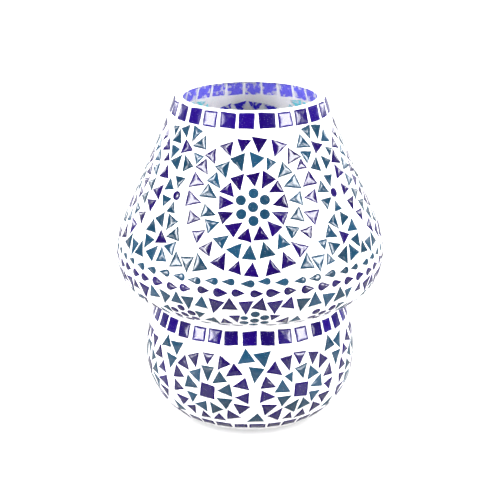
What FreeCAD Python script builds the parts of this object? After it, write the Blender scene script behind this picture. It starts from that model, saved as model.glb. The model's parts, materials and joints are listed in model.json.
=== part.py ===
"""Mosaic glass table lamp: a one-piece blown glass vessel, shaped as a domed shade over a round globe
base, covered on the outside with hand-cut glass pieces set in white grout. An E14 lampholder stands on
a clamped steel seat in the bottom hole, and a bulb screws into it from the open mouth.

Frame: millimetres, +Z up, origin on the table under the lamp's axis. The front, with the first large
medallion, faces -Y. An angle round the lamp is counted from the front towards +X, and a distance down
the face is counted along its outline from the top of the rim.
"""

import FreeCAD
import Part
import math
import os
import random
from collections import namedtuple

# ---------------------------------------------------------------- driving dimensions

RIM_Z = 221.0  # top of the rim
RIM_R = 48.7  # outer radius at the rim
COLLAR_R = 53.3  # where the collar meets the cone
COLLAR_Z = 207.0
DOME_R = 89.0  # widest radius, at the dome's belly
BELLY_Z = 114.5
SHOULDER_ARC = 54.0  # arc from the cone down to the belly
LIP_ARC = 30.0  # arc from the belly in under the dome
WAIST_ARC = 1.5  # hollow arc where dome and globe meet
GLOBE_R = 70.5
GLOBE_Z = 43.0  # height of the globe's widest ring
GLOBE_TOP_ARC = 97.0
GLOBE_FOOT_ARC = 47.4
SEAT_Z = 3.0  # underside of the glass, which the feet hold off the table

GROUT = 2.4  # thickness of the grout skin
GLASS = 2.6  # wall of the glass vessel
FLOOR_T = 3.2  # floor of the glass vessel
RIM_CAP = 1.0  # grout over the top edge of the glass
MOUTH_R = 44.0  # ground land inside the mouth, a true cylinder
MOUTH_LAND = 4.0  # depth of that land below the top edge of the glass
TILE_T = 2.7  # thickness of a mosaic piece
GLUE = 0.05  # film of glue between glass and mosaic piece
JOINT = 1.0  # narrowest grout joint between two pieces
TILE_DEPTH = 1.5  # how far a pocket's cutter reaches past the piece, each way

FLOOR_HOLE_R = 22.0
INLET_ANGLE = -25.0  # of the cord inlet, on the globe's foot arc, at the back
INLET_HOLE_R = 5.0
INLET_BORE_R = 3.2
INLET_MARGIN = 3.5  # of grout round the inlet
GROMMET_FLANGE_R = 7.0
FOOT_R = 5.0
FOOT_CIRCLE_R = 36.0

FLANGE_R = 28.0  # of the two plates that clamp the glass floor
PLATE_T = 1.0
GASKET_T = 0.8
DISH_R = 20.0  # hollow of the lower plate, which takes its nut
DISH_RISE = 3.0
NIPPLE_R = 5.0  # M10 x 1 threaded tube
NIPPLE_BORE_R = 3.6
NIPPLE_LOW_Z = 1.6
NUT_FLATS = 14.0
NUT_T = 2.8
WASHER_R = 9.0
WASHER_T = 0.8
SLIP = 0.05  # radial gap where one piece goes over another

HOLDER_Z = 20.0  # underside of the E14 lampholder
NECK_R = 8.0
NECK_H = 10.0
HOLDER_R = 14.0
CAP_TOP = 26.0  # heights above HOLDER_Z
BODY_LOW = 20.5
SHOULDER_UP = 32.0
HOLDER_H = 58.0
BODY_WALL = 1.6
BORE_R = 7.1  # inside the screw shell
SHELL_T = 0.5
INSERT_R = 9.6
BUSH_WALL = 1.5
GRUB_R = 1.5  # of the grub screw through the neck
SCREW_OFFSET = 5.4
SCREW_R = 1.25  # of a terminal screw's hole

BULB_GAP = 0.3  # between the bulb's contact and the holder's
BULB_LENGTH = 77.0
BULB_R = 22.5
BULB_WALL = 0.8
BULB_NECK_R = 6.3
CAP_R = 6.75
CAP_WALL = 0.4
CAP_LOW, CAP_HIGH = 4.0, 24.0  # heights above the bulb's contact
ROD_R = 0.9  # of the glass rod that carries the light strips
FILAMENTS = 4

SEED = 11

# ---------------------------------------------------------------- outline of the finished face

Stretch = namedtuple("Stretch", "start end centre hollow")


def on_circle(centre, radius, angle):
    return (centre[0] + radius * math.cos(angle), centre[1] + radius * math.sin(angle))


def tangent_from(point, centre, radius):
    """The point where a line from point touches a circle, on the circle's outer side."""
    dr, dz = point[0] - centre[0], point[1] - centre[1]
    angle = math.atan2(dz, dr) - math.acos(radius / math.hypot(dr, dz))
    return on_circle(centre, radius, angle)


def circles_meet(c1, r1, c2, r2):
    """The crossing of two circles that lies further from the axis."""
    d = math.dist(c1, c2)
    along = (d * d + r1 * r1 - r2 * r2) / (2 * d)
    off = math.sqrt(r1 * r1 - along * along)
    ur, uz = (c2[0] - c1[0]) / d, (c2[1] - c1[1]) / d
    mid = (c1[0] + along * ur, c1[1] + along * uz)
    sides = [(mid[0] + off * uz, mid[1] - off * ur), (mid[0] - off * uz, mid[1] + off * ur)]
    return max(sides)


def towards(a, b, distance):
    share = distance / math.dist(a, b)
    return (a[0] + (b[0] - a[0]) * share, a[1] + (b[1] - a[1]) * share)


SHOULDER_C = (DOME_R - SHOULDER_ARC, BELLY_Z)
LIP_C = (DOME_R - LIP_ARC, BELLY_Z)
GLOBE_TOP_C = (GLOBE_R - GLOBE_TOP_ARC, GLOBE_Z)
GLOBE_FOOT_C = (GLOBE_R - GLOBE_FOOT_ARC, GLOBE_Z)
WAIST_C = circles_meet(LIP_C, LIP_ARC + WAIST_ARC, GLOBE_TOP_C, GLOBE_TOP_ARC + WAIST_ARC)


def face_outline():
    """The stretches of the finished face's outline, (radius, height), from the rim down to the seat."""
    rim, collar = (RIM_R, RIM_Z), (COLLAR_R, COLLAR_Z)
    cone_end = tangent_from(collar, SHOULDER_C, SHOULDER_ARC)
    belly = (DOME_R, BELLY_Z)
    lip_end = towards(LIP_C, WAIST_C, LIP_ARC)
    waist_end = towards(GLOBE_TOP_C, WAIST_C, GLOBE_TOP_ARC)
    bulge = (GLOBE_R, GLOBE_Z)
    foot_r = GLOBE_FOOT_C[0] + math.sqrt(GLOBE_FOOT_ARC**2 - (GLOBE_Z - SEAT_Z) ** 2)
    return [
        Stretch(rim, collar, None, False),
        Stretch(collar, cone_end, None, False),
        Stretch(cone_end, belly, SHOULDER_C, False),
        Stretch(belly, lip_end, LIP_C, False),
        Stretch(lip_end, waist_end, WAIST_C, True),
        Stretch(waist_end, bulge, GLOBE_TOP_C, False),
        Stretch(bulge, (foot_r, SEAT_Z), GLOBE_FOOT_C, False),
    ]


OUTLINE = face_outline()


def turn_of(st):
    """Start angle and signed sweep of an arc stretch, the short way round."""
    a0 = math.atan2(st.start[1] - st.centre[1], st.start[0] - st.centre[0])
    a1 = math.atan2(st.end[1] - st.centre[1], st.end[0] - st.centre[0])
    return a0, (a1 - a0 + math.pi) % (2 * math.pi) - math.pi


def length_of(st):
    if st.centre is None:
        return math.dist(st.start, st.end)
    return abs(turn_of(st)[1]) * math.dist(st.start, st.centre)


def at_share(st, share):
    """The point and the outward normal at a share, 0 to 1, of a stretch."""
    if st.centre is None:
        point = towards(st.start, st.end, share * length_of(st))
        length = length_of(st)
        return point, ((st.start[1] - st.end[1]) / length, (st.end[0] - st.start[0]) / length)
    a0, sweep = turn_of(st)
    radius, angle = math.dist(st.start, st.centre), a0 + share * sweep
    sign = -1 if st.hollow else 1
    return on_circle(st.centre, radius, angle), (sign * math.cos(angle), sign * math.sin(angle))


def face_at(down):
    """The point and the outward normal of the face at a distance down its outline."""
    for st in OUTLINE:
        if down <= length_of(st) or st is OUTLINE[-1]:
            return at_share(st, down / length_of(st))
        down -= length_of(st)


def moved_in(point, normal, inset):
    return (point[0] - inset * normal[0], point[1] - inset * normal[1])


def vec(point):
    return FreeCAD.Vector(point[0], 0, point[1])


def wall_edges(inset, top_z, bottom_z):
    """Edges, in the XZ plane from the top down, of the face's outline moved in by inset."""
    edges = []
    for i, st in enumerate(OUTLINE):
        ends = []
        for share, beside in ((0.0, i - 1), (1.0, i + 1)):
            point, normal = at_share(st, share)
            if 0 <= beside < len(OUTLINE):  # the corner between collar and cone moves along its bisector
                other = at_share(OUTLINE[beside], 1.0 - share)[1]
                dot = normal[0] * other[0] + normal[1] * other[1]
                bisector = ((normal[0] + other[0]) / (1 + dot), (normal[1] + other[1]) / (1 + dot))
                ends.append(moved_in(point, bisector, inset))
            else:
                ends.append(moved_in(point, normal, inset))
        start, end = ends
        if i == 0:  # the collar runs on in its own line up or down to top_z
            slope = (end[0] - start[0]) / (end[1] - start[1])
            start = (end[0] + slope * (top_z - end[1]), top_z)
        if st.centre is None:
            edges.append(Part.LineSegment(vec(start), vec(end)).toShape())
            continue
        middle = moved_in(*at_share(st, 0.5), inset)
        if i == len(OUTLINE) - 1:  # the foot arc ends at bottom_z
            radius = GLOBE_FOOT_ARC - inset
            angle = math.asin((bottom_z - st.centre[1]) / radius)
            end = on_circle(st.centre, radius, angle)
            middle = on_circle(st.centre, radius, angle / 2)
        edges.append(Part.Arc(vec(start), vec(middle), vec(end)).toShape())
    return edges


def first_point(edges):
    return edges[0].valueAt(edges[0].FirstParameter)


def last_point(edges):
    return edges[-1].valueAt(edges[-1].LastParameter)


AXIS = FreeCAD.Vector(0, 0, 1)
ORIGIN = FreeCAD.Vector(0, 0, 0)


def line(a, b):
    return Part.LineSegment(a, b).toShape()


def revolved(edges):
    """A solid of revolution from edges that close a section in the XZ plane."""
    return Part.Face(Part.Wire(Part.__sortEdges__(edges))).revolve(ORIGIN, AXIS, 360)


def turned(points):
    """A solid of revolution from the corners, (radius, height), of its section."""
    corners = [vec(p) for p in points]
    return revolved([line(a, b) for a, b in zip(corners, corners[1:] + corners[:1])])


def ring(r_in, r_out, z_low, z_high):
    return turned([(r_in, z_low), (r_out, z_low), (r_out, z_high), (r_in, z_high)])


# ---------------------------------------------------------------- vessel and grout

GLASS_TOP_Z = RIM_Z - RIM_CAP


def inlet_frame():
    """Where the cord inlet's axis leaves the finished face, and its outward direction."""
    a = math.radians(INLET_ANGLE)
    r = GLOBE_FOOT_C[0] + GLOBE_FOOT_ARC * math.cos(a)
    z = GLOBE_Z + GLOBE_FOOT_ARC * math.sin(a)
    return FreeCAD.Vector(0, r, z), FreeCAD.Vector(0, math.cos(a), math.sin(a))


def inlet_hole(radius):
    """Cutter for the cord inlet, through grout and glass."""
    mouth, out = inlet_frame()
    reach = GROUT + GLASS + 6.0
    return Part.makeCylinder(radius, 2 * reach, mouth - out * reach, out)


def glass_body():
    """The blown vessel: dome, waist and globe in one wall, open at the top, with a hole in its floor."""
    floor_z = SEAT_Z + FLOOR_T
    outer = wall_edges(GROUT, GLASS_TOP_Z, SEAT_Z)
    inner = wall_edges(GROUT + GLASS, GLASS_TOP_Z, floor_z)[1:]  # the land takes the first edge's place
    hole_low, hole_high = vec((FLOOR_HOLE_R, SEAT_Z)), vec((FLOOR_HOLE_R, floor_z))
    land_top, land_low = vec((MOUTH_R, GLASS_TOP_Z)), vec((MOUTH_R, GLASS_TOP_Z - MOUTH_LAND))
    section = outer + inner + [
        line(first_point(outer), land_top),
        line(land_top, land_low),
        line(land_low, first_point(inner)),
        line(last_point(outer), hole_low),
        line(hole_low, hole_high),
        line(hole_high, last_point(inner)),
    ]
    return revolved(section).cut(inlet_hole(INLET_HOLE_R))


def grout_skin(cutters):
    """The white grout: a skin over the glass and its rim, with a pocket for each mosaic piece."""
    face = wall_edges(0.0, RIM_Z, SEAT_Z)
    back = wall_edges(GROUT, GLASS_TOP_Z, SEAT_Z)
    inside, inside_top = vec((MOUTH_R, GLASS_TOP_Z)), vec((MOUTH_R, RIM_Z))
    section = face + back + [
        line(first_point(face), inside_top),
        line(inside_top, inside),
        line(inside, first_point(back)),
        line(last_point(face), last_point(back)),
    ]
    return revolved(section).cut(cutters + [inlet_hole(INLET_HOLE_R)])


# ---------------------------------------------------------------- mosaic pieces

Tile = namedtuple("Tile", "node place across up out outline curve reach")
PIECE_REACH = 6.4  # from the middle of the largest piece to its corners


def place_at(angle, down):
    """Frame on the glass at an angle round the lamp and a distance down the face: place, across, up, out.

    A piece rests on the highest spots of the glass behind it, so it bridges the hollow under the collar.
    """
    glass = [moved_in(*face_at(down + PIECE_REACH * step / 4), GROUT) for step in range(-4, 5)]
    high, middle, low = glass[0], glass[4], glass[-1]
    nr, nz = (high[1] - low[1]) / math.dist(high, low), (low[0] - high[0]) / math.dist(high, low)
    lift = GLUE + max((r - middle[0]) * nr + (z - middle[1]) * nz for r, z in glass)
    r, z = middle[0] + lift * nr, middle[1] + lift * nz
    a = math.radians(angle)
    place = FreeCAD.Vector(r * math.sin(a), -r * math.cos(a), z)
    across = FreeCAD.Vector(math.cos(a), math.sin(a), 0)
    up = FreeCAD.Vector(-nz * math.sin(a), nz * math.cos(a), nr)
    out = FreeCAD.Vector(nr * math.sin(a), -nr * math.cos(a), nz)
    return place, across, up, out


def polygon(count, circumradius, turn):
    """Corners of a regular polygon, the first one at turn degrees clockwise from up."""
    steps = [math.radians(turn + 360.0 * i / count) for i in range(count)]
    return [(circumradius * math.sin(a), circumradius * math.cos(a)) for a in steps]


def clockwise(points, angle):
    """Points turned clockwise by an angle in radians."""
    c, s = math.cos(angle), math.sin(angle)
    return [(x * c + y * s, y * c - x * s) for x, y in points]


def oblong(width, height, turn):
    corners = [(-1, 1), (1, 1), (1, -1), (-1, -1)]
    return clockwise([(i * width / 2, j * height / 2) for i, j in corners], math.radians(turn))


def drop(length, width, side):
    """Outline of a drop that lies along the band: round at one end, with its tip towards side, -1 or 1."""
    radius = width / 2
    tip = length - radius
    lean = math.degrees(math.acos(radius / tip))
    round_end = [math.radians(lean + (360 - 2 * lean) * i / 10) for i in range(11)]
    middle = (length - width) / 2
    points = [(tip, 0.0)] + [(radius * math.cos(a), radius * math.sin(a)) for a in round_end]
    return [(side * (x - middle), y) for x, y in points]


def nudged(points, amount):
    return [(x + RANDOM.uniform(-amount, amount), y + RANDOM.uniform(-amount, amount)) for x, y in points]


def seen_from(tile, other):
    """The other piece's outline in this piece's own plane."""
    corners = [other.place + other.across * x + other.up * y - tile.place for x, y in other.outline]
    return [(c.dot(tile.across), c.dot(tile.up)) for c in corners]


def apart(a, b):
    """Widest gap between two convex outlines along their sides' normals; negative if they overlap."""
    widest = -math.inf
    for one, two in ((a, b), (b, a)):
        middle = (sum(p[0] for p in one) / len(one), sum(p[1] for p in one) / len(one))
        for p, q in zip(one, one[1:] + one[:1]):
            side = math.dist(p, q)
            n = ((q[1] - p[1]) / side, (p[0] - q[0]) / side)
            edge = n[0] * p[0] + n[1] * p[1]
            if n[0] * middle[0] + n[1] * middle[1] > edge:
                n, edge = (-n[0], -n[1]), -edge
            widest = max(widest, min(n[0] * x + n[1] * y for x, y in two) - edge)
    return widest


RANDOM = random.Random(SEED)
TILES = []
LIP_LIMIT = 153.0  # pieces stay above this distance down the face under the dome
GLOBE_START = 162.4  # and below this one on the globe
SHRINK = 0.95
SMALLEST = 0.68
ATTEMPTS = 4


def fits(tile, down):
    """Whether a piece keeps its joints, and stays off the waist and the cord inlet."""
    lowest = down - min(y for _, y in tile.outline)
    highest = down - max(y for _, y in tile.outline)
    if lowest > LIP_LIMIT and highest < GLOBE_START:
        return False
    if (inlet_frame()[0] - tile.place).Length < INLET_HOLE_R + INLET_MARGIN + tile.reach:
        return False
    near = [t for t in TILES if (t.place - tile.place).Length < t.reach + tile.reach + JOINT]
    return all(apart(tile.outline, seen_from(tile, t)) >= JOINT for t in near)


def lay(node, angle, down, cut, curve=None):
    """Lays a piece of a fresh cut, nipped smaller until it fits, or leaves its place to the grout."""
    place, across, up, out = place_at(angle, down)
    size = 1.0
    while size > SMALLEST:
        for _ in range(ATTEMPTS):
            shape = [(x * size, y * size) for x, y in cut()]
            reach = max(math.hypot(x, y) for x, y in shape)
            tile = Tile(node, place, across, up, out, shape, curve, reach)
            if fits(tile, down):
                TILES.append(tile)
                return
        size *= SHRINK


def radius_at(down):
    return face_at(down)[0][0]


def around(angle, down, radius, bearing, squash=1.0):
    """Angle and distance down of a point at a radius and a clockwise bearing round a motif's middle."""
    b = math.radians(bearing)
    down_there = down - squash * radius * math.cos(b)
    return angle + math.degrees(radius * math.sin(b) / radius_at(down_there)), down_there


def lay_triangle(node, angle, down, side, apex):
    """A hand-cut triangle, slightly taller than wide, whose apex points apex degrees clockwise from up."""
    def cut():
        a = math.radians(apex + RANDOM.gauss(0, 8))
        tall = side * RANDOM.uniform(0.94, 1.08)
        flat = [(0, tall * 2 / 3), (side / 2, -tall / 3), (-side / 2, -tall / 3)]
        return nudged(clockwise(flat, a), 0.05 * side)
    lay(node, angle, down, cut)


def lay_disc(node, angle, down, radius):
    """A disc, kept as a true circle, with a 12-sided outline for the gap test."""
    lay(node, angle, down, lambda: polygon(12, radius, 0), "circle")


def lay_ring(node, angle, down, radius, count, side, phase, squash=1.0):
    """A ring of triangles round a motif's middle, each with its apex towards it."""
    for i in range(count):
        bearing = phase + 360.0 * i / count + RANDOM.gauss(0, 0.9)
        spot = around(angle, down, radius + RANDOM.uniform(-0.5, 0.5), bearing, squash)
        lay_triangle(node, *spot, side, bearing + 180)


def lay_dots(node, angle, down, radius, dot):
    """A middle disc with six more round it."""
    lay_disc(node, angle, down, dot)
    for i in range(6):
        lay_disc(node, *around(angle, down, radius, 60.0 * i + RANDOM.uniform(-3.5, 3.5)), dot)


def lay_oblong(node, angle, down, width, height, turn, rough):
    lay(node, angle, down, lambda: nudged(oblong(width, height, turn + RANDOM.gauss(0, 2.0)), rough))


def lay_band(node, down, count, width, height, phase):
    """A band of nearly square pieces right round the lamp."""
    for i in range(count):
        lay_oblong(node, phase + 360.0 * i / count + RANDOM.gauss(0, 0.4), down, width, height, 0, 0.4)


MEDALLIONS = 4
MEDALLION_TURN = 1.5
MEDALLION_DOWN = 59.8
MEDALLION_DOT = (8.6, 3.2)  # radius of the ring of dots, and of a dot
MEDALLION_RINGS = [  # node, ring radius, count, side, phase
    ("medallion_inner_triangles", 18.6, 13, 9.3, 0.0),
    ("medallion_middle_triangles", 29.4, 18, 9.7, 3.0),
    ("medallion_outer_triangles", 40.2, 23, 9.6, -8.0),
]


def lay_dome():
    """Rim band, medallions, and the columns of stars with their fillers."""
    lay_band("rim_squares", 6.0, 26, 10.1, 10.0, -2.0)
    medallions = [MEDALLION_TURN + 360.0 * k / MEDALLIONS for k in range(MEDALLIONS)]
    columns = [angle + 180.0 / MEDALLIONS for angle in medallions]
    for angle in medallions:
        lay_dots("medallion_dots", angle, MEDALLION_DOWN, *MEDALLION_DOT)
        for node, radius, count, side, phase in MEDALLION_RINGS:
            lay_ring(node, angle, MEDALLION_DOWN, radius, count, side, phase)
    for column in columns:
        for down in (26.5, 86.0):
            lay_triangle("star_centres", column, down, 8.8, 90)
            lay_ring("star_triangles", column, down, 11.8, 8, 8.9, 23.0)
        lay_disc("star_centres", column + 2.5, 57.5, 3.0)
        lay_ring("star_triangles", column + 1.8, 57.5, 9.2, 6, 8.0, 0.0)
    for column in columns:
        for side in (-1, 1):
            lay_triangle("dome_filler_triangles", column + side * 25, 17.4, 9.8, side * 40)
            lay_triangle("dome_filler_triangles", column + side * 16, 17.4, 9.4, side * 100)
            lay_triangle("dome_filler_triangles", column + side * 12.6, 87.0, 9.0, 180)
            lay_triangle("dome_filler_triangles", column + side * 5.0, 70.5, 8.8, side * 60)
        for i in range(-4, 5):
            lay_triangle("dome_filler_triangles", column + 5.5 * i, 98.2 - abs(i) * 0.3, 9.6, 180 * (i % 2))


DROPS = 50


def lay_drops(node, down, phase, length, width, side):
    """A band of drops round the belly, whose tips all point one way."""
    for i in range(DROPS):
        angle = phase + 360.0 * i / DROPS + RANDOM.gauss(0, 0.35)
        size = RANDOM.uniform(0.92, 1.08)
        outline = drop(length * size, width * size, side)
        lay(node, angle, down + RANDOM.gauss(0, 0.4), lambda: outline, "drop")


FLOWERS = 11
FLOWER_TURN = 2.0
FLOWER_DOWN = 137.0
FLOWER_SIDES = ((8.4, 133.0, 200), (13.6, 139.0, 20), (-8.4, 133.5, 150), (-13.2, 139.5, 0))
LIP_BAND = 60


def flower_colours(k):
    """Colour of a flower's dots and of the triangles round it, counted both ways from the front."""
    return ("teal", "violet") if k % 2 == 0 else ("violet", "teal")


def lay_underside():
    """A band of triangles under the belly, dot flowers under it, and a last row at the waist."""
    pitch = 360.0 / FLOWERS
    for i in range(-LIP_BAND // 2, LIP_BAND // 2):
        angle = FLOWER_TURN + 360.0 * (i + 0.3) / LIP_BAND + RANDOM.gauss(0, 0.4)
        colour = flower_colours(round((angle - FLOWER_TURN) / pitch))[1]
        lay_triangle("underside_%s_triangles" % colour, angle, 122.6, 9.3, 180 * (i % 2))
    for k in range(-(FLOWERS // 2), FLOWERS // 2 + 1):
        dots, triangles = ("underside_%s_" % colour for colour in flower_colours(k))
        angle = FLOWER_TURN + pitch * k
        lay_dots(dots + "dots", angle, FLOWER_DOWN, 7.3, 2.8)
        for offset, down, apex in FLOWER_SIDES:
            lay_triangle(triangles + "triangles", angle + offset, down, 8.8, apex)
        for i in range(-2, 2):
            lay_triangle(triangles + "triangles", angle + pitch * i / 4, 149.0, 8.8, 180 * (i % 2))


GLOBE_STARS = 7
GLOBE_STAR_DOWN = 205.4
GLOBE_TURN = 2.5  # angle of a gap between two of the globe's stars


def lay_globe():
    """Shoulder band and foot band, then stars in rings with fillers between them."""
    lay_band("shoulder_squares", 168.2, 35, 9.2, 9.4, 0.0)
    lay_band("foot_band_tiles", 237.6, 32, 10.2, 7.4, 5.0)
    pitch = 360.0 / GLOBE_STARS
    stars = [GLOBE_TURN + pitch * (k + 0.5) for k in range(GLOBE_STARS)]
    for k, angle in enumerate(stars):
        lay_oblong("globe_star_centres", angle, GLOBE_STAR_DOWN, 10.2, 10.4, 38.0 if k % 2 else 6.0, 0.5)
        lay_ring("globe_star_triangles", angle, GLOBE_STAR_DOWN, 13.4, 9, 9.1, 2.0)
    for angle in stars:
        lay_ring("globe_ring_triangles", angle, GLOBE_STAR_DOWN, 24.6, 15, 9.1, 0.0, 0.94)
    for angle in stars:
        gap = angle + pitch / 2
        for side in (-1, 1):
            lay_triangle("globe_filler_triangles", gap + side * 4.4, 180.4, 9.6, 90 * side - 40)
        lay_triangle("globe_filler_triangles", gap + 0.8, 190.6, 9.4, 180)
        lay_triangle("globe_filler_triangles", gap + 1.0, 227.4, 9.2, 0)


def tile_face(tile, lift):
    """The piece's flat outline as a face, lifted off the glass."""
    base = tile.place + tile.out * lift
    if tile.curve == "circle":
        circle = Part.Circle(base, tile.out, tile.reach)
        return Part.Face(Part.Wire([circle.toShape()]))
    corners = [base + tile.across * x + tile.up * y for x, y in tile.outline]
    if tile.curve == "drop":
        tip, start, middle, end = corners[0], corners[1], corners[6], corners[-1]
        edges = [line(tip, start), Part.Arc(start, middle, end).toShape(), line(end, tip)]
        return Part.Face(Part.Wire(edges))
    return Part.Face(Part.Wire([line(a, b) for a, b in zip(corners, corners[1:] + corners[:1])]))


def tile_solid(tile):
    return tile_face(tile, 0.0).extrude(tile.out * TILE_T)


def tile_cutter(tile):
    return tile_face(tile, -TILE_DEPTH).extrude(tile.out * (TILE_T + 2 * TILE_DEPTH))


# ---------------------------------------------------------------- clamped seat in the floor hole

FLOOR_TOP_Z = SEAT_Z + FLOOR_T
FLANGE_Z = SEAT_Z - GASKET_T - PLATE_T
DISH_Z = FLANGE_Z + DISH_RISE
PLATE_Z = FLOOR_TOP_Z + GASKET_T
HOLDER_TOP_Z = HOLDER_Z + HOLDER_H


def nut(z):
    """A hexagon nut on the threaded tube."""
    corners = polygon(6, NUT_FLATS / math.sqrt(3), 0)
    points = [FreeCAD.Vector(x, y, z) for x, y in corners]
    blank = Part.Face(Part.Wire([line(a, b) for a, b in zip(points, points[1:] + points[:1])]))
    hole = Part.makeCylinder(NIPPLE_R + SLIP, NUT_T + 2, FreeCAD.Vector(0, 0, z - 1))
    return blank.extrude(FreeCAD.Vector(0, 0, NUT_T)).cut(hole)


def bottom_plate():
    """A dished disc: its flange presses on the floor from below, and its nut sits in the dish."""
    r = NIPPLE_R + SLIP
    low, high = FLANGE_Z, DISH_Z
    wall = DISH_R - PLATE_T
    return turned([(FLANGE_R, low), (FLANGE_R, low + PLATE_T), (DISH_R, low + PLATE_T),
                   (DISH_R, high + PLATE_T), (r, high + PLATE_T), (r, high), (wall, high), (wall, low)])


def foot_pads():
    pads = []
    for k in range(4):
        a = math.radians(45 + 90 * k)
        middle = FreeCAD.Vector(FOOT_CIRCLE_R * math.cos(a), FOOT_CIRCLE_R * math.sin(a), 0)
        pads.append(Part.makeCylinder(FOOT_R, SEAT_Z, middle))
    return Part.makeCompound(pads)


def cable_grommet():
    """A rubber sleeve through the wall, with a flange on each side of it."""
    mouth, out = inlet_frame()
    flange_t = 1.3
    outside = -0.18  # the face falls away from the flange towards its edge
    inside = -(GROUT + GLASS + 0.7)
    sleeve = Part.makeCylinder(INLET_HOLE_R - SLIP, outside - inside, mouth + out * inside, out)
    outer_flange = Part.makeCylinder(GROMMET_FLANGE_R, flange_t, mouth + out * outside, out)
    inner_flange = Part.makeCylinder(GROMMET_FLANGE_R, flange_t, mouth + out * (inside - flange_t), out)
    whole = sleeve.fuse([outer_flange, inner_flange])
    return whole.cut(inlet_hole(INLET_BORE_R)).removeSplitter()


def seat_nodes():
    nut_low_z = DISH_Z - NUT_T
    washer_z = PLATE_Z + PLATE_T
    nipple_top_z = HOLDER_Z + NECK_H
    return {
        "bottom_plate": bottom_plate(),
        "lower_gasket": ring(FLOOR_HOLE_R + 1, FLANGE_R, SEAT_Z - GASKET_T, SEAT_Z),
        "upper_gasket": ring(FLOOR_HOLE_R + 1, FLANGE_R, FLOOR_TOP_Z, FLOOR_TOP_Z + GASKET_T),
        "seat_plate": ring(NIPPLE_R + SLIP, FLANGE_R, PLATE_Z, PLATE_Z + PLATE_T),
        "threaded_tube": ring(NIPPLE_BORE_R, NIPPLE_R, NIPPLE_LOW_Z, nipple_top_z),
        "lower_nut": nut(nut_low_z),
        "lock_washer": ring(NIPPLE_R + SLIP, WASHER_R, washer_z, washer_z + WASHER_T),
        "upper_nut": nut(washer_z + WASHER_T),
        "foot_pads": foot_pads(),
        "cable_grommet": cable_grommet(),
    }


# ---------------------------------------------------------------- lampholder

INSERT_LOW_Z = HOLDER_Z + BODY_LOW
INSERT_TOP_Z = HOLDER_Z + SHOULDER_UP
PLATE_THICK = 0.6  # of a terminal plate


def cross_hole(radius, z):
    return Part.makeCylinder(radius, NECK_R + 4, FreeCAD.Vector(0, 0, z), FreeCAD.Vector(1, 0, 0))


def holder_cap():
    """The lower half of the holder: a neck that takes the bush, flared out to a cup."""
    bush_r = NIPPLE_R + SLIP + BUSH_WALL + SLIP
    neck_top, top = HOLDER_Z + NECK_H, HOLDER_Z + CAP_TOP
    flare_top = neck_top + 8.0
    inside = HOLDER_R - BODY_WALL
    outer = [(NECK_R, HOLDER_Z), (NECK_R, neck_top), (HOLDER_R - 2, neck_top + 5), (HOLDER_R, flare_top)]
    inner = [(inside, top), (inside, flare_top), (bush_r, neck_top), (bush_r, HOLDER_Z)]
    cup = turned(outer + [(HOLDER_R, top)] + inner)
    return cup.cut(cross_hole(GRUB_R + SLIP, HOLDER_Z + NECK_H / 2))


def holder_body():
    """The upper half: a sleeve that screws into the cap, with a shoulder over the insert."""
    low, ledge, top = HOLDER_Z + BODY_LOW, HOLDER_Z + CAP_TOP, HOLDER_TOP_Z
    thread_r = HOLDER_R - BODY_WALL - SLIP
    insert_r, shell_r = INSERT_R + SLIP, BORE_R + SHELL_T + SLIP
    edge = 1.5
    outer = [(thread_r, low), (thread_r, ledge), (HOLDER_R, ledge), (HOLDER_R, top - edge)]
    inner = [(shell_r, top), (shell_r, INSERT_TOP_Z), (insert_r, INSERT_TOP_Z), (insert_r, low)]
    return turned(outer + [(HOLDER_R - edge, top)] + inner)


def screw_places():
    return [FreeCAD.Vector(side * SCREW_OFFSET, 0, 0) for side in (-1, 1)]


def holder_insert():
    """The ceramic core, with two screw holes from below."""
    core = Part.makeCylinder(INSERT_R, INSERT_TOP_Z - INSERT_LOW_Z, AXIS * INSERT_LOW_Z)
    holes = [Part.makeCylinder(SCREW_R, 7.0, p + AXIS * (INSERT_LOW_Z - 1)) for p in screw_places()]
    return core.cut(holes)


def terminal_plates():
    plates = []
    for p in screw_places():
        corner = p + FreeCAD.Vector(-2.6, -3.5, INSERT_LOW_Z - PLATE_THICK)
        plate = Part.makeBox(5.2, 7.0, PLATE_THICK, corner)
        plates.append(plate.cut(Part.makeCylinder(SCREW_R, 3.0, p + AXIS * (INSERT_LOW_Z - 2))))
    return Part.makeCompound(plates)


def terminal_screws():
    screws = []
    for p in screw_places():
        head_top = p + AXIS * (INSERT_LOW_Z - PLATE_THICK)
        head = Part.makeCylinder(2.2, 1.6, head_top - AXIS * 1.6)
        slot = Part.makeBox(5.0, 0.6, 0.8, head_top - FreeCAD.Vector(2.5, 0.3, 1.6))
        shank = Part.makeCylinder(SCREW_R - SLIP, 6.0, head_top)
        screws.append(head.cut(slot).fuse(shank).removeSplitter())
    return Part.makeCompound(screws)


CONTACT_TOP_Z = INSERT_TOP_Z + 3.6


def centre_contact():
    """A sprung brass strip, bent up to meet the bulb."""
    low, high, t = INSERT_TOP_Z, CONTACT_TOP_Z, 0.4
    side = [(5.0, low), (3.0, low), (1.5, high - t)]
    back = [(1.75, high), (3.25, low + t), (5.0, low + t)]
    path = side + [(-x, z) for x, z in reversed(side)] + [(-x, z) for x, z in reversed(back)] + back
    points = [FreeCAD.Vector(x, -1.6, z) for x, z in path]
    face = Part.Face(Part.Wire([line(a, b) for a, b in zip(points, points[1:] + points[:1])]))
    return face.extrude(FreeCAD.Vector(0, 3.2, 0))


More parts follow.
